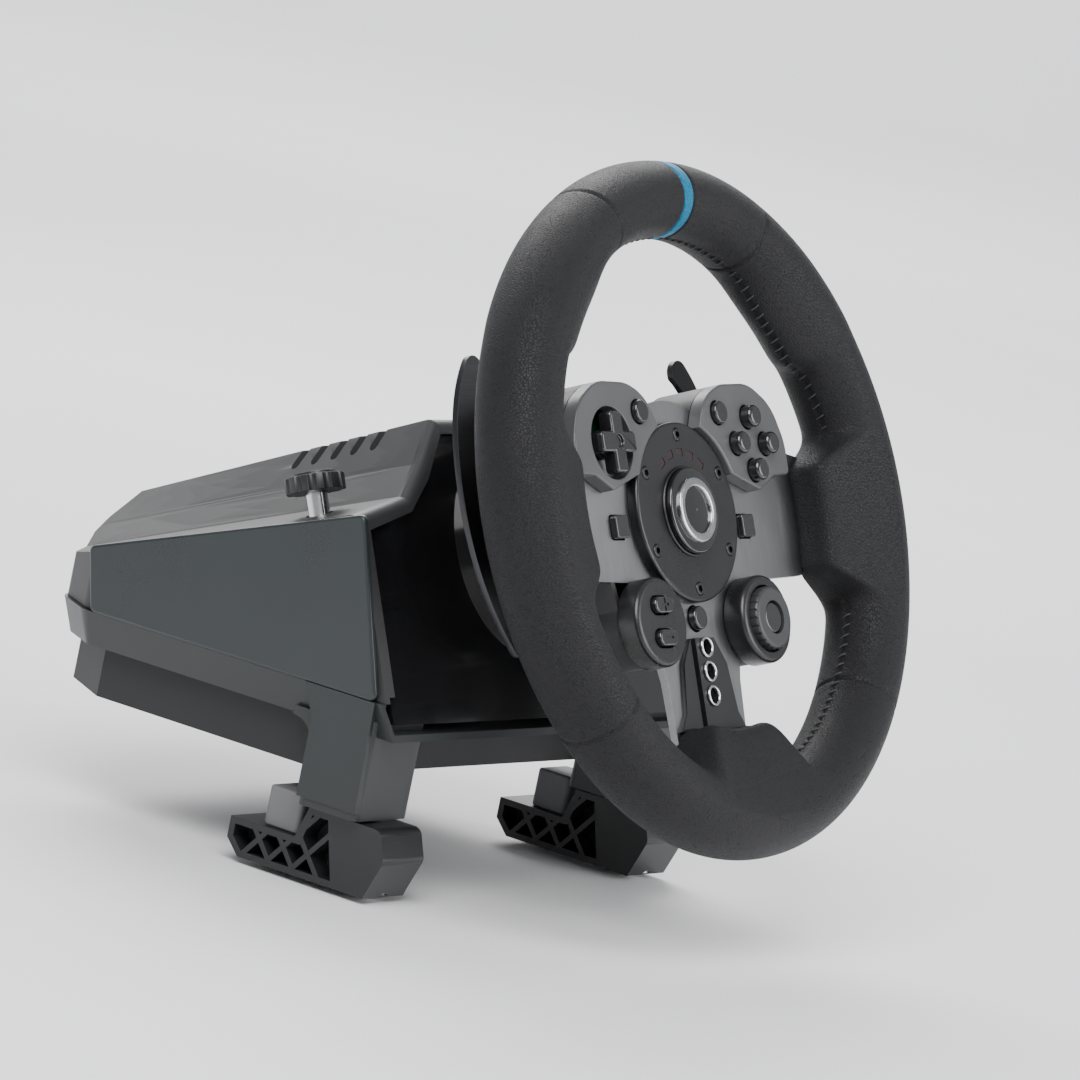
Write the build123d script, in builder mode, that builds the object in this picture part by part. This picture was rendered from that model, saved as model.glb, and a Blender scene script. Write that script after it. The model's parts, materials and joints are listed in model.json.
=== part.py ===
"""Desktop racing wheel: a motor-driven steering wheel on a base that clamps to the edge of a table.

Millimetres. The origin is on the base's flat underside, in its middle plane, at the line where the
rear faces of the two clamp legs meet the table's edge. +Z is up from the table, -Y points at the
driver and +X is the driver's right. The steering axis leans up towards the driver by TILT.
"""

import os
from math import atan, cos, pi, radians, sin, sqrt, tan

from build123d import *

# ---------------------------------------------------------------- driving dimensions
TILT = 24.0  # steering axis above the table plane, degrees
WHEEL_HEIGHT = 116.0  # wheel centre above the table plane
WHEEL_REACH = 77.0  # wheel centre in front of the table edge

RIM_R = 115.0  # centre line of the rim
GRIP_RADIAL = 14.5  # half thickness of the grip, towards the hub
GRIP_AXIAL = 16.5  # half thickness of the grip, along the steering axis
CORE_R = 6.0  # steel ring inside the grip
MARKER_ARC = 3.0  # centre stripe, degrees of the rim

BODY_HALF = 107.0  # half width of the base
WALL = 2.5  # moulded wall thickness
GAP = 0.3  # shut line between neighbouring mouldings
REAR_Y = 143.0  # rearmost point of the base
CROWN_V = 48.0  # top of the motor housing above the steering axis
CROWN_HALF = 60.0  # half width of the motor housing
LEG_IN = 72.0  # inner side of a clamp leg
LEG_FRONT = -26.5  # front of the legs
LEG_FOOT = -12.0  # underside of the legs
BAND_LOW = 19.0  # underside of the lower shell along the sides
CREASE = 32.0  # height of the line between side panel and lower shell

SHAFT_R = 12.5  # steering shaft
GEAR_MODULE = 1.0
GEAR_TEETH = 84
PINION_TEETH = 12
BACKLASH = 0.3
MOTOR_R = 17.5
MOTOR_BACK = -130.0
PINION_SHAFT_R = 2.0

CLAMP_X = 88.0  # clamp screws, either side of the middle plane
CLAMP_Y = -12.5  # where a clamp screw's axis crosses the table plane
ROD_R = 4.0
RUN = 0.05  # radial running clearance

# ---------------------------------------------------------------- frames and axes
ALONG = Vector(0, -cos(radians(TILT)), sin(radians(TILT)))  # up the steering axis, to the driver
UP = Vector(0, sin(radians(TILT)), cos(radians(TILT)))  # up in the plane of the wheel
CENTRE = Vector(0, -WHEEL_REACH, WHEEL_HEIGHT)
FACE = Plane(origin=CENTRE, x_dir=(1, 0, 0), z_dir=ALONG)
STEERING = Axis(CENTRE, ALONG)
SIDES = (("left", -1), ("right", 1))


def level(w):
    """A sketch plane square to the steering axis, w along it from the wheel's centre."""
    return FACE.offset(w)


def radial(angle):
    """The half plane through the steering axis at an angle round it: x outwards, y along the axis."""
    out = Vector(1, 0, 0) * cos(radians(angle)) + UP * sin(radians(angle))
    return Plane(origin=CENTRE, x_dir=out, z_dir=out.cross(ALONG))


def clamp_level(side, t):
    """A sketch plane square to a clamp screw, t up the screw from the table plane."""
    foot = Vector(side * CLAMP_X, CLAMP_Y, 0)
    return Plane(origin=foot + UP * t, x_dir=(1, 0, 0), z_dir=UP)


def side_point(w, v):
    """Height and depth of a point of the middle plane, given along and above the steering axis."""
    p = CENTRE + ALONG * w + UP * v
    return (p.Y, p.Z)


def save(part, name):
    part.label = name
    export_step(part, f"parts/{name}.step")


os.makedirs("parts", exist_ok=True)

# ---------------------------------------------------------------- rim
with BuildPart() as rim_core:
    with BuildSketch(radial(0)):
        with Locations((RIM_R, 0)):
            Circle(CORE_R)
    revolve(axis=STEERING)
save(rim_core.part, "rim_core")

SPOKE_FRONT = -9.0  # front face of the spoke plate
SPOKE_BACK = -12.0
SLOT_PITCH = 9.0

POD = (36.0, -41.0)
POD_R = 16.5
PAD_CENTRE = (47.0, 25.0)  # middle of the four action buttons, and of the direction pad
BUTTON_PITCH = 10.0
BUTTON_R = 4.2
SQUARE_AT = (43.0, -5.0)
SQUARE = 8.5
SHOULDER_AT = (27.0, 36.5)
HOME_AT = (0.0, -39.0)
CONTROL_CLEAR = 5.0  # radius of the holes that plungers pass through


def action_spots(side):
    x, y = side * PAD_CENTRE[0], PAD_CENTRE[1]
    return {
        "top": (x, y + BUTTON_PITCH),
        "right": (x + BUTTON_PITCH, y),
        "bottom": (x, y - BUTTON_PITCH),
        "left": (x - BUTTON_PITCH, y),
    }


CONTROL_SPOTS = [*action_spots(1).values(), HOME_AT]
CONTROL_SPOTS += [(side * SHOULDER_AT[0], SHOULDER_AT[1]) for _, side in SIDES]

with BuildPart() as spoke_frame:
    with BuildSketch(level(SPOKE_BACK)):
        Circle(42)
        with BuildLine():
            Polyline((0, 24), (78, 23), (112, 17), (112, -17), (78, -24), (0, -27), close=True)
        make_face()
        with BuildLine():
            Polyline((0, 24), (-78, 23), (-112, 17), (-112, -17), (-78, -24), (0, -27), close=True)
        make_face()
        with BuildLine():
            Polyline((-34, -26), (-25, -62), (-22, -112), (22, -112), (25, -62), (34, -26), close=True)
        make_face()
        Circle(RIM_R - CORE_R, mode=Mode.INTERSECT)
        with Locations(*CONTROL_SPOTS):
            Circle(CONTROL_CLEAR, mode=Mode.SUBTRACT)
        with Locations(*[(side * SQUARE_AT[0], SQUARE_AT[1]) for _, side in SIDES]):
            RectangleRounded(SQUARE + 0.8, SQUARE + 0.8, 1.4, mode=Mode.SUBTRACT)
        with Locations(*[(side * POD[0], POD[1]) for _, side in SIDES]):
            Circle(POD_R - WALL, mode=Mode.SUBTRACT)
        with Locations(*[(0, -50 - SLOT_PITCH * i) for i in range(3)]):
            Circle(3.0, mode=Mode.SUBTRACT)
        Circle(10, mode=Mode.SUBTRACT)
    extrude(amount=SPOKE_FRONT - SPOKE_BACK)
save(spoke_frame.part, "spoke_frame")

with BuildPart() as rim_marker:
    with BuildSketch(radial(90 - MARKER_ARC / 2)):
        with Locations((RIM_R, 0)):
            Ellipse(GRIP_RADIAL + 0.2, GRIP_AXIAL + 0.2)
            Circle(CORE_R, mode=Mode.SUBTRACT)
    revolve(axis=STEERING, revolution_arc=MARKER_ARC)
save(rim_marker.part, "rim_marker")

ROOT_FRONT = 9.0  # padded roots where the spokes enter the grip
ROOT_BACK = -15.0
THUMB_REST = 4.0  # the grip swells inwards by this much at ten and at two
GRIP_RUNS = (
    (90 + MARKER_ARC / 2, 124, 0),
    (124, 150, THUMB_REST),
    (150, 390, 0),
    (390, 416, THUMB_REST),
    (416, 450 - MARKER_ARC / 2, 0),
)

with BuildPart() as rim_grip:
    for start, stop, swell in GRIP_RUNS:
        with BuildSketch(radial(start)):
            with Locations((RIM_R - swell, 0)):
                Ellipse(GRIP_RADIAL + swell, GRIP_AXIAL + swell / 4)
            with Locations((RIM_R, 0)):
                Circle(CORE_R, mode=Mode.SUBTRACT)
        revolve(axis=STEERING, revolution_arc=stop - start)
    with BuildSketch(level(ROOT_BACK)):
        for _, side in SIDES:
            with BuildLine():
                Polyline((side * 80, 20), (side * 104, 27), (side * 104, -30), (side * 80, -25), close=True)
            make_face()
        with BuildLine():
            Polyline((-26, -82), (-34, -104), (34, -104), (26, -82), close=True)
        make_face()
    extrude(amount=ROOT_FRONT - ROOT_BACK)
    add(spoke_frame.part, mode=Mode.SUBTRACT)
save(rim_grip.part, "rim_grip")

# ---------------------------------------------------------------- button plates and pods
PLATE_FRONT = -3.0
PLATE_BACK = -9.0
DISC_R = 33.5


def plate_outline(side, grow=0.0):
    """Outline of the plate that carries the buttons of one thumb, inside the current sketch."""
    points = [(14, 31), (20, 43), (32, 47.5), (52, 48), (66, 40)]
    points += [(72, 26), (72, 13.5), (61, 13), (50, 7.5), (30, 14)]
    with BuildSketch(mode=Mode.PRIVATE) as outline:
        with BuildLine():
            Polyline(*[(side * x, y) for x, y in points], close=True)
        make_face()
        rounded = outline.vertices().filter_by(lambda v: v.Y > 25 and abs(v.X) > 16)
        fillet(rounded, 20)
        fillet(outline.vertices().filter_by(lambda v: v.Y < 14.5), 2.4)
        if grow:
            offset(amount=grow, kind=Kind.ARC)
    add(outline.sketch)


for name, side in SIDES:
    with BuildPart() as plate:
        with BuildSketch(level(PLATE_BACK)):
            plate_outline(side)
            Circle(DISC_R + 0.6, mode=Mode.SUBTRACT)
        extrude(amount=PLATE_FRONT - PLATE_BACK)
        chamfer(plate.faces().sort_by(STEERING)[-1].edges(), 0.6)
        with BuildSketch(level(PLATE_BACK)):
            if side > 0:
                with Locations(*action_spots(1).values()):
                    Circle(BUTTON_R + 0.4)
            else:
                with Locations((-PAD_CENTRE[0], PAD_CENTRE[1])):
                    Circle(13.4)
            with Locations((side * SHOULDER_AT[0], SHOULDER_AT[1])):
                Circle(4.6)
        extrude(amount=20, mode=Mode.SUBTRACT)
    save(plate.part, f"button_plate_{name}")

PLUNGER_BACK = -15.0  # inner end of every plunger, in front of the circuit board

for name, spot in action_spots(1).items():
    with BuildPart() as button:
        with BuildSketch(level(PLUNGER_BACK + 4)):
            with Locations(spot):
                Circle(BUTTON_R)
        extrude(amount=1.5 - PLUNGER_BACK - 4)
        fillet(button.faces().sort_by(STEERING)[-1].edges(), 1.6)
        with BuildSketch(level(PLUNGER_BACK)):
            with Locations(spot):
                Circle(2.2)
        extrude(amount=4)
    save(button.part, f"action_button_{name}")

# Direction pad: a dished cross on a ball, carried by a small pivot ring.
with BuildPart() as dpad:
    with BuildSketch(level(-5.2)):
        with Locations((-PAD_CENTRE[0], PAD_CENTRE[1])):
            RectangleRounded(22.5, 7.6, 1.6)
            RectangleRounded(7.6, 22.5, 1.6)
    extrude(amount=5.4)
    chamfer(dpad.faces().sort_by(STEERING)[-1].edges(), 0.7)
    with BuildSketch(level(0.2)):
        with Locations((-PAD_CENTRE[0], PAD_CENTRE[1])):
            Circle(2.6)
    extrude(amount=-1.2, mode=Mode.SUBTRACT)
    with BuildSketch(level(-8.6)):
        with Locations((-PAD_CENTRE[0], PAD_CENTRE[1])):
            Circle(2.4)
    extrude(amount=3.4)
save(dpad.part, "dpad")

with BuildPart() as dpad_pivot:
    with BuildSketch(level(-8.4)):
        with Locations((-PAD_CENTRE[0], PAD_CENTRE[1])):
            Circle(5.4)
            Circle(3.1, mode=Mode.SUBTRACT)
    extrude(amount=2.0)
save(dpad_pivot.part, "dpad_pivot")

for name, side in SIDES:
    with BuildPart() as shoulder:
        with BuildSketch(level(PLUNGER_BACK)):
            with Locations((side * SHOULDER_AT[0], SHOULDER_AT[1])):
                Circle(4.2)
        extrude(amount=-0.8 - PLUNGER_BACK)
        fillet(shoulder.faces().sort_by(STEERING)[-1].edges(), 0.9)
    save(shoulder.part, f"shoulder_button_{name}")

    with BuildPart() as square:
        with BuildSketch(level(PLUNGER_BACK)):
            with Locations((side * SQUARE_AT[0], SQUARE_AT[1])):
                RectangleRounded(SQUARE, SQUARE, 1.2)
        extrude(amount=-6.4 - PLUNGER_BACK)
        fillet(square.faces().sort_by(STEERING)[-1].edges(), 0.7)
    save(square.part, f"menu_button_{name}")

with BuildPart() as home_button:
    with BuildSketch(level(PLUNGER_BACK)):
        with Locations(HOME_AT):
            Circle(4.4)
    extrude(amount=-6.0 - PLUNGER_BACK)
    fillet(home_button.faces().sort_by(STEERING)[-1].edges(), 1.0)
save(home_button.part, "home_button")

# Round pods under the spokes: plus and minus buttons on the left, selection dial on the right.
POD_FRONT = 0.0
with BuildPart() as thumb_pods:
    for name, side in SIDES:
        with BuildSketch(level(PLATE_BACK)):
            with Locations((side * POD[0], POD[1])):
                Circle(POD_R)
        extrude(amount=POD_FRONT - PLATE_BACK)
    fillet(thumb_pods.faces().group_by(STEERING)[-1].edges(), 2.0)
    with BuildSketch(level(POD_FRONT - 7)):
        with Locations((POD[0], POD[1])):
            Circle(12.4)
    extrude(amount=12, mode=Mode.SUBTRACT)
    with BuildSketch(level(PLATE_BACK)):
        with Locations((POD[0], POD[1])):
            Circle(3.4)
        with Locations((-POD[0], POD[1] + 6), (-POD[0], POD[1] - 6)):
            SlotOverall(13, 6.8)
    extrude(amount=20, mode=Mode.SUBTRACT)
save(thumb_pods.part, "thumb_pods")

for name, dv in (("plus", 6), ("minus", -6)):
    with BuildPart() as rocker:
        with BuildSketch(level(PLUNGER_BACK)):
            with Locations((-POD[0], POD[1] + dv)):
                SlotOverall(12.2, 6.0)
        extrude(amount=2.0 - PLUNGER_BACK)
        fillet(rocker.faces().sort_by(STEERING)[-1].edges(), 0.9)
        with BuildSketch(level(2.0)):
            with Locations((-POD[0], POD[1] + dv)):
                Rectangle(5.0, 0.9)
                if name == "plus":
                    Rectangle(0.9, 5.0)
        extrude(amount=-0.4, mode=Mode.SUBTRACT)
    save(rocker.part, f"{name}_button")

DIAL_NOTCHES = 24
with BuildPart() as selection_dial:
    with BuildSketch(level(-6.5)):
        with Locations((POD[0], POD[1])):
            Circle(11.8)
            Circle(6.3, mode=Mode.SUBTRACT)
    extrude(amount=9.5)
    fillet(selection_dial.faces().sort_by(STEERING)[-1].edges().sort_by(SortBy.LENGTH)[-1:], 1.6)
    with BuildSketch(level(-1.5)):
        with Locations((POD[0], POD[1])):
            with PolarLocations(12.1, DIAL_NOTCHES):
                Circle(0.75)
    extrude(amount=8, mode=Mode.SUBTRACT)
save(selection_dial.part, "selection_dial")

with BuildPart() as enter_button:
    with BuildSketch(level(-5.0)):
        with Locations((POD[0], POD[1])):
            Circle(5.9)
    extrude(amount=7.5)
    fillet(enter_button.faces().sort_by(STEERING)[-1].edges(), 1.2)
    with BuildSketch(level(PLUNGER_BACK)):
        with Locations((POD[0], POD[1])):
            Circle(2.6)
    extrude(amount=-5.0 - PLUNGER_BACK)
save(enter_button.part, "enter_button")

# ---------------------------------------------------------------- hub
SCREW_RING = 28.6
LIGHT_RING = 22.0
LIGHT_ANGLES = [54 + 18 * i for i in range(5)]
LIGHT_PLACES = [
    Location(LIGHT_RING * Vector(cos(radians(a)), sin(radians(a)), 0), (0, 0, a)) for a in LIGHT_ANGLES
]

COVER_T = 4.0
SEAT_T = 1.5  # left under each screw and light

with BuildPart() as hub_front_cover:
    with BuildSketch(level(SPOKE_FRONT)):
        Circle(DISC_R)
    extrude(amount=COVER_T)
    fillet(hub_front_cover.faces().sort_by(STEERING)[-1].edges(), 1.2)
    with BuildSketch(level(SPOKE_FRONT + 2.0)):
        Circle(16.2)
    extrude(amount=10, mode=Mode.SUBTRACT)
    with BuildSketch(level(SPOKE_FRONT + SEAT_T)):
        with PolarLocations(SCREW_RING, 6, start_angle=30):
            Circle(2.6)
        with Locations(*LIGHT_PLACES):
            RectangleRounded(3.0, 4.6, 0.8)
    extrude(amount=10, mode=Mode.SUBTRACT)
    # the bottom spoke's cover: two flanks beside a raised ladder with three eyelets
    for _, side in SIDES:
        with BuildSketch(level(SPOKE_FRONT)):
            Polygon((side * 8, -46.5), (side * 14.5, -56), (side * 17.5, -74), (side * 22, -80.5),
                    (side * 8, -80.5), align=None)
        extrude(amount=1.8)
    with BuildSketch(level(SPOKE_FRONT)):
        with Locations((0, -63.5)):
            Rectangle(13, 34)
        with Locations(*[(0, -50 - SLOT_PITCH * i) for i in range(3)]):
            Circle(3, mode=Mode.SUBTRACT)
    extrude(amount=2.8)
    with BuildSketch(level(SPOKE_FRONT + 2.8)):
        with Locations(*[(0, -50 - SLOT_PITCH * i) for i in range(3)]):
            Circle(3.8)
            Circle(3, mode=Mode.SUBTRACT)
    extrude(amount=0.7)
save(hub_front_cover.part, "hub_front_cover")

with BuildPart() as indicator_lights:
    with BuildSketch(level(SPOKE_FRONT + SEAT_T)):
        with Locations(*LIGHT_PLACES):
            RectangleRounded(2.8, 4.4, 0.7)
    extrude(amount=COVER_T - SEAT_T - 0.2)
save(indicator_lights.part, "indicator_lights")

with BuildPart() as hub_badge:
    with BuildSketch(level(SPOKE_FRONT + 2.0)):
        Circle(15.9)
    extrude(amount=6.4)
    fillet(hub_badge.faces().sort_by(STEERING)[-1].edges(), 3.0)
    with BuildSketch(level(SPOKE_FRONT + 8.4)):
        Circle(11.4)
        Circle(8.4, mode=Mode.SUBTRACT)
    extrude(amount=0.7)
save(hub_badge.part, "hub_badge")

with BuildPart() as hub_screws:
    with BuildSketch(level(SPOKE_FRONT + SEAT_T)):
        with PolarLocations(SCREW_RING, 6, start_angle=30):
            Circle(2.4)
    extrude(amount=2.9)
    fillet(hub_screws.faces().group_by(STEERING)[-1].edges(), 0.5)
    with BuildSketch(level(SPOKE_FRONT + SEAT_T + 2.9)):
        with PolarLocations(SCREW_RING, 6, start_angle=30):
            RegularPolygon(1.35, 6)
    extrude(amount=-1.8, mode=Mode.SUBTRACT)
save(hub_screws.part, "hub_screws")

HUB_BACK = -30.0  # rear of the wide part of the hub housing
DRUM_BACK = -54.0  # rear of the drum that holds the paddles
DRUM_R = 40.0
PADDLE_W = -45.0
PADDLE_T = 2.4
PIN_X = 33.0


def pin_plane(side):
    """Plane of a paddle's pivot pin, through the middle of the paddle's thickness."""
    middle = CENTRE + Vector(side * PIN_X, 0, 0) + ALONG * (PADDLE_W + PADDLE_T / 2)
    return Plane(origin=middle, x_dir=(1, 0, 0), z_dir=UP)


PIN_R = 1.5


def hub_outline(grow=0.0):
    """Outline of the hub housing behind the spokes, inside the current sketch."""
    with BuildSketch(mode=Mode.PRIVATE) as outline:
        Circle(DRUM_R)
        for _, side in SIDES:
            plate_outline(side)
            with Locations((side * POD[0], POD[1])):
                Circle(POD_R - 1)
            with BuildLine():
                Polyline((0, 38), (side * 30, 38), (side * 50, 10), (side * 56, -10), (side * 50, -38),
                         (side * 20, -50), (0, -50), close=True)
            make_face()
        if grow:
            offset(amount=grow, kind=Kind.ARC)
    add(outline.sketch)


with BuildPart() as hub_rear_cover:
    with BuildSketch(level(HUB_BACK)):
        hub_outline()
    extrude(amount=PLATE_BACK - HUB_BACK)
    with BuildSketch(level(DRUM_BACK)):
        Circle(DRUM_R)
    extrude(amount=HUB_BACK - DRUM_BACK)
    chamfer(hub_rear_cover.faces().sort_by(STEERING)[0].edges(), 1.5)
    with BuildSketch(level(HUB_BACK + WALL)):
        hub_outline(-WALL)
    extrude(amount=40, mode=Mode.SUBTRACT)
    with BuildSketch(level(DRUM_BACK + WALL)):
        Circle(DRUM_R - WALL)
    extrude(amount=40, mode=Mode.SUBTRACT)
    with BuildSketch(level(DRUM_BACK)):
        Circle(SHAFT_R)
    extrude(amount=10, mode=Mode.SUBTRACT)
    with BuildSketch(level(PADDLE_W - 2.6)):
        Rectangle(2 * DRUM_R + 10, 36)
    extrude(amount=PADDLE_T + 5.2, mode=Mode.SUBTRACT)
    # two posts per side hold each paddle's pin above and below its knuckle
    with BuildSketch(level(DRUM_BACK + WALL)):
        with Locations(*[(side * PIN_X, v) for _, side in SIDES for v in (-13.5, 13.5)]):
            Rectangle(5.4, 4.0)
    extrude(amount=PADDLE_W + PADDLE_T / 2 + 3.5 - DRUM_BACK - WALL)
    for _, side in SIDES:
        with BuildSketch(pin_plane(side)):
            Circle(PIN_R)
        extrude(amount=15.5, both=True, mode=Mode.SUBTRACT)
    add(spoke_frame.part, mode=Mode.SUBTRACT)
save(hub_rear_cover.part, "hub_rear_cover")

with BuildPart() as paddle_pins:
    for _, side in SIDES:
        with BuildSketch(pin_plane(side)):
            Circle(PIN_R)
        extrude(amount=15.5, both=True)
save(paddle_pins.part, "paddle_pins")

for name, side in SIDES:
    with BuildPart() as paddle:
        with BuildSketch(level(PADDLE_W)):
            with BuildLine():
                Line((side * (PIN_X + 1), 10.5), (side * 52, 16))
                Spline((side * 52, 16), (side * 66, 26), (side * 72.5, 40), (side * 64, 57))
                ThreePointArc((side * 64, 57), (side * 66.5, 63.5), (side * 73, 62.5))
                Spline((side * 73, 62.5), (side * 83, 46), (side * 88, 20),
                       (side * 84.5, -15), (side * 71, -43))
                ThreePointArc((side * 71, -43), (side * 65.5, -46), (side * 62, -40.5))
                Spline((side * 62, -40.5), (side * 62.5, -26), (side * 52, -16))
                Line((side * 52, -16), (side * (PIN_X + 1), -10.5))
                Line((side * (PIN_X + 1), -10.5), (side * (PIN_X + 1), 10.5))
            make_face()
            with Locations((side * 57, 0)):
                SlotOverall(16, 5, rotation=90, mode=Mode.SUBTRACT)
        extrude(amount=PADDLE_T)
        knuckle = pin_plane(side)
        with BuildSketch(knuckle):
            Circle(3.4)
        extrude(amount=11, both=True)
        with BuildSketch(knuckle):
            Circle(PIN_R + RUN)
        extrude(amount=12, both=True, mode=Mode.SUBTRACT)
    save(paddle.part, f"paddle_{name}")

with BuildPart() as wheel_board:
    with BuildSketch(level(-19.0)):
        hub_outline(-WALL - 0.8)
        Circle(SHAFT_R + 1, mode=Mode.SUBTRACT)
    extrude(amount=1.6)
    with BuildSketch(level(-17.4)):
        with Locations(*[(s[0], s[1]) for s in action_spots(1).values()]):
            Rectangle(5, 5)
        with Locations(*[(side * p[0], p[1]) for _, side in SIDES for p in (SQUARE_AT, SHOULDER_AT)]):
            Rectangle(5, 5)
        with Locations((0, -41), (-POD[0], POD[1] + 6), (-POD[0], POD[1] - 6), (POD[0], POD[1])):
            Rectangle(5, 5)
    extrude(amount=0.8)
save(wheel_board.part, "wheel_board")

# ---------------------------------------------------------------- steering shaft and its gear
SHAFT_BACK = -156.0
GEAR_BACK = -152.0
GEAR_WIDE = 10.0
PINION_X = GEAR_MODULE * (GEAR_TEETH + PINION_TEETH) / 2
BEARINGS = (-96.0, -138.0)  # rear faces of the two bearings
BEARING_WIDE = 8.0
RACE_R = 15.5

with BuildPart() as steering_shaft:
    with BuildSketch(level(SHAFT_BACK)):
        Circle(SHAFT_R)
        Circle(6, mode=Mode.SUBTRACT)
    extrude(amount=SPOKE_BACK - SHAFT_BACK)
    with BuildSketch(level(SPOKE_BACK)):
        Circle(10)
        Circle(6, mode=Mode.SUBTRACT)
    extrude(amount=SPOKE_FRONT - SPOKE_BACK)
save(steering_shaft.part, "steering_shaft")


def gear_outline(teeth, flank, phase, x=0.0):
    """Corners of a spur gear with involute flanks, thinned for backlash, with a tooth at phase degrees."""
    pitch = GEAR_MODULE * teeth / 2
    base = pitch * cos(radians(20))
    half = (pi * GEAR_MODULE / 2 - BACKLASH) / 2 / pitch + tan(radians(20)) - radians(20)
    radii = [pitch - 1.1 * GEAR_MODULE + 1.8 * GEAR_MODULE * i / flank for i in range(flank + 1)]
    corners = []
    for tooth in range(teeth):
        middle = 2 * pi * tooth / teeth + radians(phase)
        for sign, run in ((-1, radii), (1, radii[::-1])):
            for r in run:
                roll = sqrt(max(r * r - base * base, 0)) / base
                turn = middle + sign * (half - roll + atan(roll))
                corners.append((x + r * cos(turn), r * sin(turn)))
    return corners


with BuildPart() as main_gear:
    with BuildSketch(level(GEAR_BACK)):
        with BuildLine():
            Polyline(*gear_outline(GEAR_TEETH, 2, 0), close=True)
        make_face()
        Circle(SHAFT_R, mode=Mode.SUBTRACT)
        with PolarLocations(27, 6):
            Circle(7, mode=Mode.SUBTRACT)
    extrude(amount=GEAR_WIDE)
save(main_gear.part, "main_gear")

for name, side in SIDES:
    with BuildPart() as pinion:
        with BuildSketch(level(GEAR_BACK + 1)):
            with BuildLine():
                Polyline(*gear_outline(PINION_TEETH, 4, 180 / PINION_TEETH, side * PINION_X), close=True)
            make_face()
        extrude(amount=GEAR_WIDE - 2)
        with BuildSketch(level(GEAR_BACK - 1)):
            with Locations((side * PINION_X, 0)):
                Circle(PINION_SHAFT_R)
        extrude(amount=MOTOR_BACK + 12 - GEAR_BACK + 1)
    save(pinion.part, f"motor_pinion_{name}")

with BuildPart() as bearing_inner_races:
    for w in BEARINGS:
        with BuildSketch(level(w)):
            Circle(RACE_R)
            Circle(SHAFT_R, mode=Mode.SUBTRACT)
        extrude(amount=BEARING_WIDE)
save(bearing_inner_races.part, "bearing_inner_races")

# ---------------------------------------------------------------- base: outer form
REAR_W = -232.0
PANEL_T = 2.7
INNER_HALF = BODY_HALF - PANEL_T - GAP
PANEL = ((-5, 96.6), (112, 55.5), (106, CREASE), (-26, CREASE))
FASCIA_W = -83.0
FASCIA_T = 2.5
FASCIA_LOW = 24.5
LIP = 6.0
COLLAR_R = 41.0
COLLAR_FRONT = -56.0


def front_section(inset):
    """The housing's section at its front, as corners to the right of the middle plane."""
    i = inset
    shoulder = [(46 - 0.3 * i, CROWN_V - i), (CROWN_HALF - 0.6 * i, 31 - i), (72 - 0.3 * i, 19 - i)]
    return [*shoulder, (INNER_HALF - i, 12.5 - i), (INNER_HALF - i, -90)]


def rear_section(inset):
    i = inset
    shoulder = [(43 - 0.3 * i, 45 - i), (CROWN_HALF - 0.6 * i, 34 - i), (73 - 0.3 * i, 26 - i)]
    return [*shoulder, (INNER_HALF - i, 21 - i), (INNER_HALF - i, -90)]


def mirrored(points):
    return [*points, *[(-x, y) for x, y in reversed(points)]]


def profile_outline(inset):
    """Side view of the housing inside the current sketch, drawn in by inset at the rear and bottom."""
    with BuildSketch(mode=Mode.PRIVATE) as outline:
        with BuildLine():
            Polyline((-60, CREASE + GAP), (-60, 140), (REAR_Y - 27 - inset, 140), (REAR_Y - inset, 58),
                     (REAR_Y - 4 - inset, CREASE + GAP), close=True)
        make_face()
        fillet(outline.vertices().sort_by(Axis.X)[-1:], 8)
    add(outline.sketch)


def plan_outline(inset, half=INNER_HALF):
    """Top view of the base inside the current sketch: square at the front, rounded at the rear."""
    h = half - inset
    with BuildSketch(mode=Mode.PRIVATE) as outline:
        with BuildLine():
            Polyline((h, -70), (h, 110 - inset), (h - 14, 130 - inset), (62 - inset, REAR_Y - inset),
                     (inset - 62, REAR_Y - inset), (14 - h, 130 - inset), (-h, 110 - inset), (-h, -70),
                     close=True)
        make_face()
        fillet(outline.vertices().filter_by(lambda v: v.Y > 0), 9)
    add(outline.sketch)


def housing_form(inset, front):
    """The upper housing as one solid, drawn in by inset, from front along the axis to the rear."""
    with BuildPart(mode=Mode.PRIVATE) as form:
        for w, section in ((-78.0 + front, front_section), (REAR_W, rear_section)):
            with BuildSketch(level(w)):
                with BuildLine():
                    Polyline(*mirrored(section(inset)), close=True)
                make_face()
        loft(ruled=True)
        if inset == 0:
            top = form.faces().sort_by(STEERING)[-1]
            fillet(top.edges().filter_by(lambda e: (e.center() - CENTRE).dot(UP) > 0), 4)
        with BuildSketch(Plane.YZ.offset(-120)):
            profile_outline(inset)
        extrude(amount=240, mode=Mode.INTERSECT)
        with BuildSketch(Plane.XY):
            plan_outline(inset)
        extrude(amount=160, mode=Mode.INTERSECT)
    return form.part


outer_form = housing_form(0, 0)
inner_form = housing_form(WALL, -8)

with BuildPart() as upper_shell:
    add(outer_form)
    add(inner_form, mode=Mode.SUBTRACT)
    with BuildSketch(Plane.YZ.offset(-INNER_HALF + WALL)):
        Polygon((-40, CREASE - 5), (-40, CREASE + WALL), (110, CREASE + WALL), (110, CREASE - 5), align=None)
    extrude(amount=2 * (INNER_HALF - WALL), mode=Mode.SUBTRACT)
    with BuildSketch(level(-78)):
        with BuildLine():
            Polyline(*mirrored(front_section(LIP)), close=True)
        make_face()
    extrude(amount=-12, mode=Mode.SUBTRACT)
    # slanted cooling slots across the edges of the crown
    with BuildSketch(Plane(origin=CENTRE + UP * (CROWN_V + 4), x_dir=(1, 0, 0), z_dir=UP)):
        for _, side in SIDES:
            with Locations(*[Location((side * 43, 101 + 9 * i, 0), (0, 0, side * 22)) for i in range(5)]):
                SlotOverall(19, 3.4)
    extrude(amount=-17, mode=Mode.SUBTRACT)
    for _, side in SIDES:
        with BuildSketch(clamp_level(side, 60)):
            Circle(ROD_R + 1.2)
        extrude(amount=60, mode=Mode.SUBTRACT)
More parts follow.
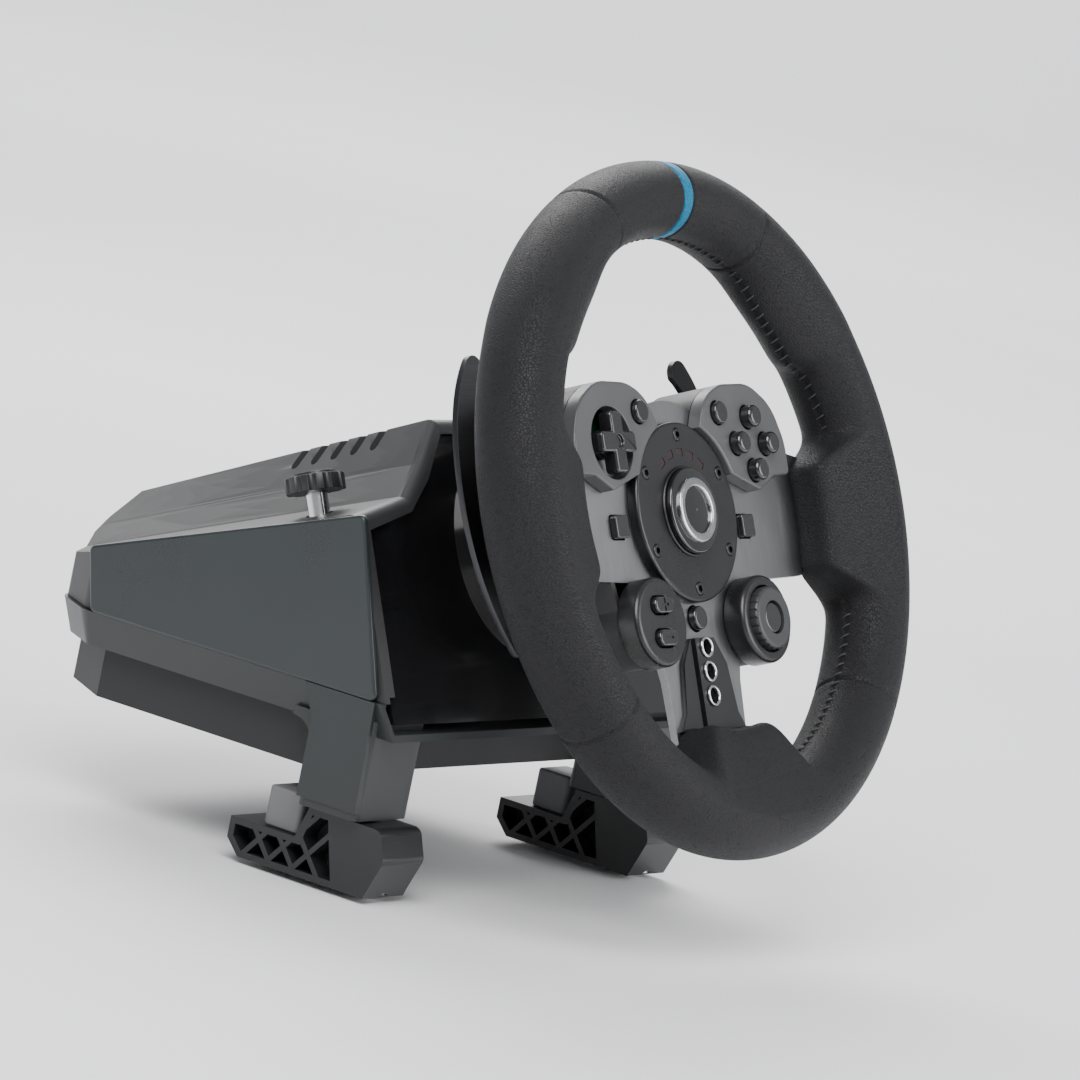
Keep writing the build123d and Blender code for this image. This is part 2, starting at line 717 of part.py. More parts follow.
save(upper_shell.part, "upper_shell")

with BuildPart() as front_fascia:
    with BuildSketch(level(FASCIA_W)):
        with BuildLine():
            Polyline(*mirrored(front_section(LIP + GAP)), close=True)
        make_face()
        Circle(SHAFT_R + 1, mode=Mode.SUBTRACT)
    extrude(amount=FASCIA_T)
    with BuildSketch(level(FASCIA_W + FASCIA_T)):
        Circle(COLLAR_R + 0.4)
    with BuildSketch(level(COLLAR_FRONT)):
        Circle(COLLAR_R - 1.5)
    loft()
    with BuildSketch(level(FASCIA_W + FASCIA_T)):
        Circle(COLLAR_R - 4)
    extrude(amount=COLLAR_FRONT - FASCIA_W - FASCIA_T - 2.5, mode=Mode.SUBTRACT)
    with BuildSketch(level(FASCIA_W)):
        Circle(SHAFT_R + 1)
    extrude(amount=40, mode=Mode.SUBTRACT)
    with BuildSketch(Plane.XY.offset(FASCIA_LOW)):
        Rectangle(300, 400)
    extrude(amount=-100, mode=Mode.SUBTRACT)
save(front_fascia.part, "front_fascia")

for name, side in SIDES:
    with BuildPart() as panel:
        with BuildSketch(Plane.YZ.offset(side * (INNER_HALF + GAP))):
            Polygon(*PANEL, align=None)
            fillet(vertices(), 2.5)
        extrude(amount=side * PANEL_T)
        chamfer(panel.faces().sort_by(Axis.X)[-1 if side > 0 else 0].edges(), 0.7)
    save(panel.part, f"side_panel_{name}")

# ---------------------------------------------------------------- lower shell with the clamp legs, and tray
FLOOR_OPEN = 80.0
BAND_SLOPE = 20.0  # the lower shell draws in towards the tray, degrees
PILLARS = ((86, 26), (-86, 26), (70, 112), (-70, 112))


def tray_outline(inset):
    """Top view of the tray inside the current sketch."""
    i = inset
    with BuildSketch(mode=Mode.PRIVATE) as outline:
        with BuildLine():
            Polyline((70 - i, i - 6), (70 - i, 1.5 + i), (95 - i, 1.5 + i), (95 - i, 104 - i),
                     (76 - i, 130 - i), (i - 76, 130 - i), (i - 95, 104 - i), (i - 95, 1.5 + i),
                     (i - 70, 1.5 + i), (i - 70, i - 6), close=True)
        make_face()
    add(outline.sketch)


with BuildPart() as lower_shell:
    with BuildSketch(Plane.XY.offset(CREASE)):
        plan_outline(0, BODY_HALF - 1.0)
    extrude(amount=BAND_LOW - CREASE, taper=BAND_SLOPE)
    with BuildSketch(Plane.XY.offset(CREASE)):
        plan_outline(WALL, BODY_HALF - 1.0)
    extrude(amount=BAND_LOW + WALL - CREASE, taper=BAND_SLOPE, mode=Mode.SUBTRACT)
    with BuildSketch(Plane.XY.offset(BAND_LOW)):
        with BuildLine():
            Polyline((-FLOOR_OPEN, 6), (-FLOOR_OPEN, 96), (-60, 112), (60, 112),
                     (FLOOR_OPEN, 96), (FLOOR_OPEN, 6), close=True)
        make_face()
        with Locations((0, 2)):
            Rectangle(120, 8)
    extrude(amount=WALL, mode=Mode.SUBTRACT)
    with BuildSketch(Plane.YZ.offset(-120)):
        Polygon((-90, 0), (-90, 60), (side_point(-79.5, 0)[0] + 0.4452 * (60 - side_point(-79.5, 0)[1]), 60),
                (side_point(-79.5, 0)[0] + 0.4452 * (0 - side_point(-79.5, 0)[1]), 0), align=None)
    extrude(amount=240, mode=Mode.SUBTRACT)
    for _, side in SIDES:
        with BuildSketch(Plane.XY.offset(LEG_FOOT)):
            with Locations((side * (LEG_IN + BODY_HALF - 1.0) / 2, LEG_FRONT / 2)):
                Rectangle(BODY_HALF - 1.0 - LEG_IN, -LEG_FRONT)
            fillet(vertices(), 3)
        extrude(amount=BAND_LOW - LEG_FOOT + 6)
        with BuildSketch(Plane.YZ.offset(side * 96)):
            Polygon((-3, 10), (0.5, 10), (0.5, 19), (10, 19), (10, 22), (-3, 22), align=None)
            Polygon((0, 9), (0, 19.5), (10.5, 19.5), align=None)
            with Locations((9.5, 9.5)):
                Circle(9, mode=Mode.SUBTRACT)
        extrude(amount=side * (BODY_HALF - 96 - 3))
        # the leg's outer wall runs up to the side panel, flush with it
        with BuildSketch(Plane.YZ.offset(side * 99)):
            Polygon((LEG_FRONT, LEG_FOOT + 3), (0, LEG_FOOT + 3), (0, 20), (6, CREASE),
                    (LEG_FRONT + 1, CREASE), align=None)
        extrude(amount=side * (BODY_HALF - 99 - 0.3))
        with BuildSketch(clamp_level(side, -30)):
            Circle(ROD_R + RUN)
        extrude(amount=90, mode=Mode.SUBTRACT)
    with BuildSketch(Plane.XY.offset(BAND_LOW)):
        with Locations(*PILLARS):
            Circle(1.5)
    extrude(amount=WALL, mode=Mode.SUBTRACT)
save(lower_shell.part, "lower_shell")

INSERTS = ((45, 60), (-45, 60))
FEET = ((58, 12), (-58, 12), (54, 112), (-54, 112))
TRAY_FLOOR = 3.0
SOCKETS = ((-44, 16), (-20, 16), (4, 16))

with BuildPart() as base_tray:
    with BuildSketch():
        tray_outline(0)
    extrude(amount=BAND_LOW)
    with BuildSketch(Plane.XY.offset(TRAY_FLOOR)):
        tray_outline(WALL)
    extrude(amount=BAND_LOW, mode=Mode.SUBTRACT)
    with BuildSketch(Plane.XY.offset(TRAY_FLOOR)):
        with Locations(*PILLARS):
            Circle(4.5)
    extrude(amount=BAND_LOW - TRAY_FLOOR)
    with BuildSketch(Plane.XY.offset(TRAY_FLOOR)):
        with Locations(*INSERTS):
            Circle(7)
    extrude(amount=6)
    with BuildSketch():
        with Locations(*INSERTS):
            Circle(4.5)
        with Locations(*PILLARS):
            Circle(1.5)
    extrude(amount=BAND_LOW, mode=Mode.SUBTRACT)
    with BuildSketch():
        with Locations(*PILLARS):
            Circle(3.2)
    extrude(amount=2.6, mode=Mode.SUBTRACT)
    with BuildSketch():
        with Locations(*FEET):
            Circle(9)
    extrude(amount=1.2, mode=Mode.SUBTRACT)
    with BuildSketch(Plane.XZ.offset(-130)):
        with Locations(*[(x, 9.6) for x, _ in SOCKETS]):
            Rectangle(16, 8)
        with Locations((26, 10)):
            Circle(4.5)
        with Locations((48, 10)):
            Circle(4.5)
    extrude(amount=10, both=True, mode=Mode.SUBTRACT)
save(base_tray.part, "base_tray")

with BuildPart() as rubber_feet:
    with BuildSketch():
        with Locations(*FEET):
            Circle(9)
    extrude(amount=1.2)
save(rubber_feet.part, "rubber_feet")

with BuildPart() as housing_screws:
    with BuildSketch(Plane.XY.offset(0.6)):
        with Locations(*PILLARS):
            Circle(3.0)
    extrude(amount=2.0)
    with BuildSketch(Plane.XY.offset(0.6)):
        with Locations(*PILLARS):
            RegularPolygon(1.4, 6)
    extrude(amount=1.2, mode=Mode.SUBTRACT)
    with BuildSketch(Plane.XY.offset(2.0)):
        with Locations(*PILLARS):
            Circle(1.5)
    extrude(amount=BAND_LOW + WALL - 2.0)
save(housing_screws.part, "housing_screws")

with BuildPart() as mounting_inserts:
    with BuildSketch():
        with Locations(*INSERTS):
            Circle(4.5)
            Circle(2.5, mode=Mode.SUBTRACT)
    extrude(amount=9)
save(mounting_inserts.part, "mounting_inserts")

with BuildPart() as main_board:
    with BuildSketch(Plane.XY.offset(TRAY_FLOOR)):
        with Locations((0, 98)):
            Rectangle(124, 52)
        with Locations(*FEET[2:]):
            Rectangle(40, 60, mode=Mode.SUBTRACT)
    extrude(amount=1.6)
    with BuildSketch(Plane.XY.offset(TRAY_FLOOR + 1.6)):
        with Locations((-20, 88), (8, 84), (24, 98)):
            Rectangle(14, 14)
        with Locations((-26, 106), (0, 104)):
            Rectangle(6, 9)
    extrude(amount=2.4)
save(main_board.part, "main_board")

with BuildPart() as accessory_sockets:
    with BuildSketch(Plane.XZ.offset(-130)):
        with Locations(*[(x, 9.6) for x, _ in SOCKETS]):
            Rectangle(16, 8)
    extrude(amount=12)
    with BuildSketch(Plane.XZ.offset(-130)):
        with Locations(*[(x, 9.6) for x, _ in SOCKETS]):
            Rectangle(12.6, 4.8)
        with Locations((26, 10)):
            Circle(3.0)
    extrude(amount=9, mode=Mode.SUBTRACT)
    with BuildSketch(Plane.XZ.offset(-130)):
        with Locations((26, 10)):
            Circle(4.5)
            Circle(3.2, mode=Mode.SUBTRACT)
    extrude(amount=12)
    with BuildSketch(Plane.XZ.offset(-121)):
        with Locations((26, 10)):
            Circle(1.0)
    extrude(amount=-6)
    with BuildSketch(Plane.XZ.offset(-121)):
        with Locations((26, 10)):
            Circle(4.5)
    extrude(amount=3)
save(accessory_sockets.part, "accessory_sockets")

with BuildPart() as cable_gland:
    with BuildSketch(Plane.XZ.offset(-124)):
        with Locations((48, 10)):
            Circle(4.5)
    extrude(amount=-9)
    with BuildSketch(Plane.XZ.offset(-130)):
        with Locations((48, 10)):
            Circle(6.2)
    extrude(amount=-2.5)
    with BuildSketch(Plane.XZ.offset(-120)):
        with Locations((48, 10)):
            Circle(2.4)
    extrude(amount=-20, mode=Mode.SUBTRACT)
save(cable_gland.part, "cable_gland")

# ---------------------------------------------------------------- gearbox, motors, bearings
with BuildPart() as gearbox_housing:
    with BuildSketch(level(BEARINGS[0])):
        RectangleRounded(56, 52, 5)
    extrude(amount=BEARING_WIDE)
    with BuildSketch(level(BEARINGS[1])):
        RectangleRounded(124, 50, 6)
    extrude(amount=BEARING_WIDE)
    for x in (-20, 20):
        with BuildSketch(Plane.YZ.offset(x - 2.5)):
            Polygon(side_point(-137, -24), side_point(-138, -48), (24, TRAY_FLOOR), (8, TRAY_FLOOR), (8, 34),
                    side_point(-89, -25), side_point(-89, -20), align=None)
        extrude(amount=5)
    with BuildSketch(level(BEARINGS[1])):
        Circle(20)
        with Locations(*[(side * PINION_X, 0) for _, side in SIDES]):
            Circle(3)
    extrude(amount=60, mode=Mode.SUBTRACT)
save(gearbox_housing.part, "gearbox_housing")

with BuildPart() as bearing_outer_races:
    for w in BEARINGS:
        with BuildSketch(level(w)):
            Circle(20)
            Circle(RACE_R + RUN, mode=Mode.SUBTRACT)
        extrude(amount=BEARING_WIDE)
save(bearing_outer_races.part, "bearing_outer_races")

for name, side in SIDES:
    with BuildPart() as motor:
        with BuildSketch(level(MOTOR_BACK)):
            with Locations((side * PINION_X, 0)):
                Circle(MOTOR_R)
        extrude(amount=40)
        fillet(motor.edges().filter_by(GeomType.CIRCLE), 1.5)
        with BuildSketch(level(MOTOR_BACK + 40)):
            with Locations((side * PINION_X, 0)):
                Circle(6)
        extrude(amount=3)
        with BuildSketch(level(MOTOR_BACK)):
            with Locations((side * PINION_X, 0)):
                Circle(PINION_SHAFT_R + RUN)
        extrude(amount=13, mode=Mode.SUBTRACT)
    save(motor.part, f"motor_{name}")

# ---------------------------------------------------------------- table clamps
ROD_LOW = -43.0
KNOB_T = 105.0
ARM_WIDE = 26.0
ARM_TOP = -13.0
PAD_TOP = -10.0

for name, side in SIDES:
    with BuildPart() as knob:
        with BuildSketch(clamp_level(side, KNOB_T)):
            Circle(11)
            with PolarLocations(11.6, 12):
                Circle(1.6, mode=Mode.SUBTRACT)
            Circle(ROD_R, mode=Mode.SUBTRACT)
        extrude(amount=6)
        with BuildSketch(clamp_level(side, KNOB_T + 6)):
            Circle(8)
        extrude(amount=1.2)
    save(knob.part, f"clamp_knob_{name}")

    with BuildPart() as rod:
        with BuildSketch(clamp_level(side, ROD_LOW)):
            Circle(ROD_R)
        extrude(amount=KNOB_T + 6 - ROD_LOW)
    save(rod.part, f"clamp_screw_{name}")

    with BuildPart() as arm:
        with BuildSketch(Plane.YZ.offset(side * CLAMP_X - ARM_WIDE / 2)):
            Polygon((-39, -24), (-35, ARM_TOP), (-3, ARM_TOP), (1, -25), (30, -25),
                    (30, -33), (24, -39), (-33, -39), align=None)
            fillet(vertices().sort_by(Axis.X)[:2], 4)
        extrude(amount=ARM_WIDE)
        for start, sense in ((side * CLAMP_X - ARM_WIDE / 2, 1), (side * CLAMP_X + ARM_WIDE / 2, -1)):
            with BuildSketch(Plane.YZ.offset(start)):
                Polygon((-12, -15.5), (-5, -15.5), (-2, -27.5), (27.5, -27.5),
                        (27.5, -32), (23, -36.5), (-18, -36.5), align=None)
                for mid in (-6, 5, 16):
                    with Locations(Location((mid, -30, 0), (0, 0, 50)), Location((mid, -30, 0), (0, 0, -50))):
                        Rectangle(40, 2, mode=Mode.SUBTRACT)
            extrude(amount=sense * 9, mode=Mode.SUBTRACT)
        with BuildSketch(clamp_level(side, ROD_LOW - 0.5)):
            Circle(ROD_R + RUN)
        extrude(amount=50, mode=Mode.SUBTRACT)
    save(arm.part, f"clamp_arm_{name}")

    with BuildPart() as pad:
        with BuildSketch(Plane.XY.offset(-25)):
            with Locations((side * CLAMP_X, 10)):
                RectangleRounded(20, 16, 2)
        extrude(amount=PAD_TOP + 25)
    save(pad.part, f"clamp_pad_{name}")
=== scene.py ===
import json
import math

import bmesh
import bpy
import numpy as np
from mathutils import Matrix, Vector


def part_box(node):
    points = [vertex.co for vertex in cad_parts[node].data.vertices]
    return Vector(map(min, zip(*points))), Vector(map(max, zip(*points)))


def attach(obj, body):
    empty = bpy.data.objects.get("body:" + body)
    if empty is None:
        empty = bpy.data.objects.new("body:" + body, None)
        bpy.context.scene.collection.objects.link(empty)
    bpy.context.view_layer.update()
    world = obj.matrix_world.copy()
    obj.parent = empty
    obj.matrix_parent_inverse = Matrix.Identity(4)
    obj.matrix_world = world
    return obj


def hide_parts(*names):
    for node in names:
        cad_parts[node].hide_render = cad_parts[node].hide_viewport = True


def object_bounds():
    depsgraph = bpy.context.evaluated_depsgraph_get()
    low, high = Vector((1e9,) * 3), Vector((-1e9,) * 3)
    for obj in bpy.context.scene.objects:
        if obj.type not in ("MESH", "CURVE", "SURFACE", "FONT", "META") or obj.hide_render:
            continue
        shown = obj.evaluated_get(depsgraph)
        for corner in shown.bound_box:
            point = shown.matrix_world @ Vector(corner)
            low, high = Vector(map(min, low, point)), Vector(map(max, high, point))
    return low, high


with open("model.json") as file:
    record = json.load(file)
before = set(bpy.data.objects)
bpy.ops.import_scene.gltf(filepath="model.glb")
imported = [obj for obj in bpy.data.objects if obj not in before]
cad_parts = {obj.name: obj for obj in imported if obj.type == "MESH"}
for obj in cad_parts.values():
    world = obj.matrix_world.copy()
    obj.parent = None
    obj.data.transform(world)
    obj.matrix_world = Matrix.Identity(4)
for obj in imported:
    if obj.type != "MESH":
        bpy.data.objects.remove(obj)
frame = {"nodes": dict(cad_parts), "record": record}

cad_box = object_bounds()


# ---------------------------------------------------------------- leather grip
# The rim is a steel ring in foam, wrapped in black leather that is cut in four lengths. It is hand
# stitched along the inside, swells into thumb rests at ten and two, and flows onto three spokes.
LEAN = math.radians(24)
ALONG = np.array([0.0, -math.cos(LEAN), math.sin(LEAN)])
UP = np.array([0.0, math.sin(LEAN), math.cos(LEAN)])
ACROSS = np.array([1.0, 0.0, 0.0])
core_low, core_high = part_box("rim_core")
WHEEL = np.array((core_low + core_high) / 2)
RIM_R = 0.115


def wheel_points(x, v, w):
    """Row frame points of x to the right, v up the wheel's face and w along the steering axis."""
    x, v, w = np.broadcast_arrays(x, v, w)
    return WHEEL + x[..., None] * ACROSS + v[..., None] * UP + w[..., None] * ALONG


def surface(name, points, uv=None, wrap_rows=False, wrap_columns=False):
    """A smooth mesh of quads over a grid of points, rows by columns, closed on itself where asked."""
    rows, columns = points.shape[:2]
    i = np.arange(rows if wrap_rows else rows - 1)[:, None]
    j = np.arange(columns if wrap_columns else columns - 1)[None, :]
    a = i * columns + j
    b = ((i + 1) % rows) * columns + j
    c = ((i + 1) % rows) * columns + (j + 1) % columns
    d = i * columns + (j + 1) % columns
    quads = np.stack([a, b, c, d], -1).reshape(-1, 4)
    mesh = bpy.data.meshes.new(name)
    mesh.from_pydata(points.reshape(-1, 3), [], quads)
    if uv is not None:
        layer = mesh.uv_layers.new(name="UVMap")
        loops = np.empty(len(mesh.loops), int)
        mesh.loops.foreach_get("vertex_index", loops)
        layer.data.foreach_set("uv", uv.reshape(-1, 2)[loops].astype(np.float32).ravel())
    mesh.polygons.foreach_set("use_smooth", [True] * len(mesh.polygons))
    piece = bpy.data.objects.new(name, mesh)
    bpy.context.scene.collection.objects.link(piece)
    return piece


def face_out(piece):
    """Merges a piece's doubles, closes its open ends and turns its faces outwards."""
    work = bmesh.new()
    work.from_mesh(piece.data)
    bmesh.ops.remove_doubles(work, verts=work.verts, dist=1e-6)
    bmesh.ops.holes_fill(work, edges=[edge for edge in work.edges if edge.is_boundary], sides=0)
    bmesh.ops.recalc_face_normals(work, faces=work.faces)
    work.to_mesh(piece.data)
    work.free()


class Wire:
    """A shader socket that Python arithmetic works on."""

    def __init__(self, tree, socket):
        self.tree = tree
        self.socket = socket

    def node(self, kind, settings=None, **inputs):
        """Adds a node, applies its settings, then fills sockets, called i0, i1 or by name."""
        made = self.tree.nodes.new(kind)
        for key, value in (settings or {}).items():
            setattr(made, key, value)
        for key, value in inputs.items():
            socket = made.inputs[int(key[1:]) if key[0] == "i" and key[1:].isdigit() else key]
            if isinstance(value, Wire):
                self.tree.links.new(value.socket, socket)
            else:
                socket.default_value = value
        return made

    def math(self, operation, other=None, swap=False):
        pair = [self, other] if not swap else [other, self]
        inputs = {f"i{n}": value for n, value in enumerate(pair) if value is not None}
        made = self.node("ShaderNodeMath", {"operation": operation}, **inputs)
        return Wire(self.tree, made.outputs[0])

    def __add__(self, other):
        return self.math("ADD", other)

    __radd__ = __add__

    def __mul__(self, other):
        return self.math("MULTIPLY", other)

    __rmul__ = __mul__

    def __sub__(self, other):
        return self.math("SUBTRACT", other)

    def __rsub__(self, other):
        return self.math("SUBTRACT", other, swap=True)

    def clamp(self):
        return Wire(self.tree, self.node("ShaderNodeClamp", i0=self).outputs[0])

    def step(self, low, high):
        """Rises smoothly from 0 at low to 1 at high."""
        made = self.node("ShaderNodeMapRange", {"interpolation_type": "SMOOTHSTEP"}, Value=self)
        made.inputs["From Min"].default_value = low
        made.inputs["From Max"].default_value = high
        return Wire(self.tree, made.outputs[0])

    def between(self, first, second):
        """Mixes two colours by this value."""
        made = self.node("ShaderNodeMix", {"data_type": "RGBA"}, i0=self)
        for socket, value in ((made.inputs[6], first), (made.inputs[7], second)):
            if isinstance(value, Wire):
                self.tree.links.new(value.socket, socket)
            else:
                socket.default_value = (*value, 1.0)
        return Wire(self.tree, made.outputs[2])


COAT_ROUGHNESS = 0.1


def finish(name, colour, rough, metallic=0.0, coat=0.0, specular=0.5):
    """A material with these plain values, its shader, and a Wire on its Object coordinates."""
    material = bpy.data.materials.new(name)
    material.use_nodes = True
    tree = material.node_tree
    shader = tree.nodes["Principled BSDF"]
    shader.inputs["Base Color"].default_value = (*colour, 1.0)
    shader.inputs["Roughness"].default_value = rough
    shader.inputs["Metallic"].default_value = metallic
    shader.inputs["Coat Weight"].default_value = coat
    shader.inputs["Coat Roughness"].default_value = COAT_ROUGHNESS
    shader.inputs["Specular IOR Level"].default_value = specular
    place = tree.nodes.new("ShaderNodeTexCoord")
    return material, shader, Wire(tree, place.outputs["Object"])


def put(shader, socket, wire):
    """Links a pattern to one of the shader's sockets."""
    wire.tree.links.new(wire.socket, shader.inputs[socket])


def speckle(place, scale, detail=2.0, roughness=0.5, stretch=None):
    """Noise between 0 and 1 at a scale in cells a metre, stretched along the row's axes if asked."""
    if stretch:
        place = Wire(place.tree, place.node("ShaderNodeMapping", i0=place, Scale=stretch).outputs[0])
    made = place.node("ShaderNodeTexNoise", Vector=place, Scale=scale, Detail=detail,
                      Roughness=roughness)
    return Wire(place.tree, made.outputs[0])


def emboss(shader, height, strength, distance):
    """Raises the surface's normal by a pattern of heights, distance metres deep at most."""
    made = height.node("ShaderNodeBump", Height=height, Strength=strength, Distance=distance)
    height.tree.links.new(made.outputs[0], shader.inputs["Normal"])


def hide_grain(name, dark, light, scale=900, rough=0.55):
    """Leather: small irregular cells with creases between them, patchy in tone and in shine, with
    painted shade darkening the creases.
    """
    material, shader, place = finish(name, dark, rough, specular=0.22)
    cells = Wire(place.tree, place.node("ShaderNodeTexVoronoi", {"feature": "DISTANCE_TO_EDGE"},
                                        Vector=place, Scale=scale).outputs[0])
    crease = cells.step(0.0, 0.16)
    patches = speckle(place, 45, 3)
    pores = speckle(place, scale * 2.2, 2)
    # The creases are coloured darker than the cells: painted shade in the grain's valleys.
    put(shader, "Base Color", (crease * 0.6 + patches * 0.5 - 0.1).clamp().between(dark, light))
    put(shader, "Roughness", patches * 0.14 + (1 - crease) * 0.12 + (rough - 0.09))
    emboss(shader, crease * 0.8 + pores * 0.25 + speckle(place, 160, 2) * 0.5, 0.55, 0.0005)
    return material


def swell(angle):
    """How much of a thumb rest there is at an angle in degrees: one logistic rise at 33, one logistic
    fall at 55, and the same on the other side of the wheel."""
    near = np.where(angle > 270, angle - 360, angle)
    mirrored = np.minimum(np.abs(near - 0), np.abs(180 - near))
    rise = 1 / (1 + np.exp(-(mirrored - 33) / 1.2))
    fall = 1 / (1 + np.exp((mirrored - 55) / 2.6))
    return np.where(np.sin(np.radians(angle)) > 0, rise * fall, 0.0)


def root(angle):
    """How much of a spoke's root there is at an angle in degrees: a logistic rise times a logistic fall
    round the right, the left and the bottom of the rim."""
    total = 0.0
    for at, low, high in ((0, -18.0, 13.5), (180, -13.5, 18.0), (270, -16.5, 16.5)):
        off = (angle - at + 180) % 360 - 180
        total = total + 1 / (1 + np.exp(-(off - low) / 0.95)) / (1 + np.exp((off - high) / 0.95))
    return total


GRIP_RADIAL = 0.0143
THUMB_REST = 0.0062
ROOT_REACH = 0.0195
GRIP_AXIAL = 0.0163
SEAM_ANGLES = (64.0, 116.0, 220.0, 320.0)
STRIPE_HALF = 1.5


def grip_run(name, start, stop, rows=900, columns=96):
    """One tube of leather: an ellipse carried round the rim from start to stop degrees. It is pulled
    inwards at the thumb rests and the roots, where its section also turns boxy, and is pinched by a
    shallow groove at each seam, at its ends and along the stitched joint."""
    angle = np.linspace(start, stop, rows)[:, None]
    turn = np.linspace(0, 2 * np.pi, columns, endpoint=False)[None, :]
    push = swell(angle % 360)
    inner = np.clip(-np.cos(turn), 0, 1) ** 1.5
    seam = sum(np.exp(-((((angle - at + 180) % 360) - 180) / 0.32) ** 2) for at in SEAM_ANGLES)
    edge = np.exp(-((angle - start) / 0.25) ** 2) + np.exp(-((angle - stop) / 0.25) ** 2)
    joint = np.exp(-((((turn - np.pi + np.pi) % (2 * np.pi)) - np.pi) / 0.035) ** 2)
    spoke = root(angle % 360)
    pinch = 1 - 0.055 * seam - 0.07 * edge
    radial = GRIP_RADIAL * pinch + push * THUMB_REST * inner - 0.0006 * joint
    axial = GRIP_AXIAL * pinch * (1 + 0.03 * push)
    inward = np.clip(-np.cos(turn), 0, 1)
    boxy = np.clip(inward * 1.35, 0, 1) ** 0.55 * (1 + 0 * angle)
    radius = RIM_R + radial * np.cos(turn) - ROOT_REACH * spoke * boxy
    flat = np.sign(np.sin(turn)) * np.abs(np.sin(turn)) ** (1 - 0.55 * spoke * inward)
    rise = axial * flat * (1 - 0.30 * spoke * boxy) - 0.0025 * spoke * boxy
    a = np.radians(angle)
    points = wheel_points(radius * np.cos(a), radius * np.sin(a), rise)
    uv = np.stack(np.broadcast_arrays(np.radians(angle) * RIM_R * 20, turn / (2 * np.pi)), -1)
    piece = surface(name, points, uv, wrap_columns=True)
    face_out(piece)
    return piece


grip = grip_run("leather_grip", 90 + STRIPE_HALF, 450 - STRIPE_HALF)
black_hide = hide_grain("black_hide", (0.007, 0.007, 0.0078), (0.018, 0.018, 0.0195))
grip.data.materials.append(black_hide)
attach(grip, "wheel")
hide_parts("rim_grip")

# ---------------------------------------------------------------- hand stitching
# Waxed thread crosses the joint on the inside of the grip, with one slanted stitch every five
# millimetres. It stops at the seams and where the leather flows onto the spokes.
STITCH_SPAN = 0.0052
STITCH_SLANT = 0.0022
THREAD_R = 0.00042


def stitches(name, angles, colour):
    """Each stitch is a small circle swept over a half-sine arch from one side of the joint to the
    other, thinner at both ends."""
    along = np.linspace(0, 1, 7)[None, :, None]
    around = np.linspace(0, 2 * np.pi, 6, endpoint=False)[None, None, :]
    at = np.radians(angles)[:, None, None]
    side = (along - 0.5) * STITCH_SPAN
    slant = (along - 0.5) * STITCH_SLANT / RIM_R
    thick = THREAD_R * np.sqrt(np.clip(np.sin(np.pi * (0.08 + 0.84 * along)), 0, 1))
    arch = 0.0005 * np.sin(np.pi * along)
    push = swell(angles % 360)[:, None, None]
    leather = RIM_R - GRIP_RADIAL - push * THUMB_REST + 0.00045 + side ** 2 * 26
    radius = leather - arch + thick * np.cos(around)
    turned = at + slant + thick * np.sin(around) / RIM_R
    points = wheel_points(radius * np.cos(turned), radius * np.sin(turned), side + 0 * around + 0 * at)
    count, steps, ring = points.shape[:3]
    i = np.arange(steps - 1)[:, None]
    j = np.arange(ring)[None, :]
    after = (j + 1) % ring
    quad = np.stack([i * ring + j, i * ring + after, (i + 1) * ring + after, (i + 1) * ring + j], -1)
    quad = quad.reshape(1, -1, 4) + np.arange(count)[:, None, None] * steps * ring
    mesh = bpy.data.meshes.new(name)
    mesh.from_pydata(points.reshape(-1, 3), [], quad.reshape(-1, 4))
    mesh.polygons.foreach_set("use_smooth", [True] * len(mesh.polygons))
    piece = bpy.data.objects.new(name, mesh)
    bpy.context.scene.collection.objects.link(piece)
    face_out(piece)
    piece.data.materials.append(colour)
    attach(piece, "wheel")


thread, thread_shader, thread_place = finish("waxed_thread", (0.03, 0.03, 0.032), 0.6)
twist = speckle(thread_place, 2500, 2)
put(thread_shader, "Base Color", twist.between((0.025, 0.025, 0.027), (0.06, 0.06, 0.064)))
emboss(thread_shader, twist, 0.4, 0.0001)
stitch_angles = np.arange(93.5, 447, 2.45)
clear = root(stitch_angles % 360) < 0.02
for at in SEAM_ANGLES:
    clear &= np.abs((stitch_angles - at + 180) % 360 - 180) > 1.0
stitches("grip_stitches", stitch_angles[clear], thread)

# ---------------------------------------------------------------- centre stripe
# A narrow band of blue leather let into the grip at twelve o'clock.
stripe = grip_run("centre_stripe", 90 - STRIPE_HALF - 0.05, 90 + STRIPE_HALF + 0.05, rows=24)
stripe.data.materials.append(hide_grain("blue_hide", (0.0, 0.10, 0.21), (0.0, 0.19, 0.33), rough=0.45))
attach(stripe, "wheel")
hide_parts("rim_marker")


# ---------------------------------------------------------------- plain CAD pieces, by finish
# Mouldings, castings and turned parts keep their exact shape and take a finish of their own.
def moulded(name, dark, light, scale=2600, rough=0.5, depth=0.00006, coat=0.0, specular=0.5):
    """Spark-eroded plastic: a fine even stipple, and faint flow in tone and in shine."""
    material, shader, place = finish(name, dark, rough, coat=coat, specular=specular)
    stipple = speckle(place, scale, 2)
    flow = speckle(place, 24, 3)
    put(shader, "Base Color", (stipple * 0.45 + flow * 0.7 - 0.1).clamp().between(dark, light))
    put(shader, "Roughness", flow * 0.16 + stipple * 0.06 + (rough - 0.11))
    emboss(shader, stipple, 0.5, depth)
    return material


def brushed(name, dark, light, stretch, rough=0.32, scale=60, metallic=1.0):
    """Metal drawn through an abrasive belt: long fine scratches one way."""
    material, shader, place = finish(name, dark, rough, metallic=metallic)
    lines = speckle(place, scale, 4, 0.7, stretch)
    smudge = speckle(place, 30, 2)
    put(shader, "Base Color", (lines * 0.8 + smudge * 0.2).clamp().between(dark, light))
    put(shader, "Roughness", lines * 0.2 + smudge * 0.1 + (rough - 0.14))
    emboss(shader, lines, 0.25, 0.00004)
    return material


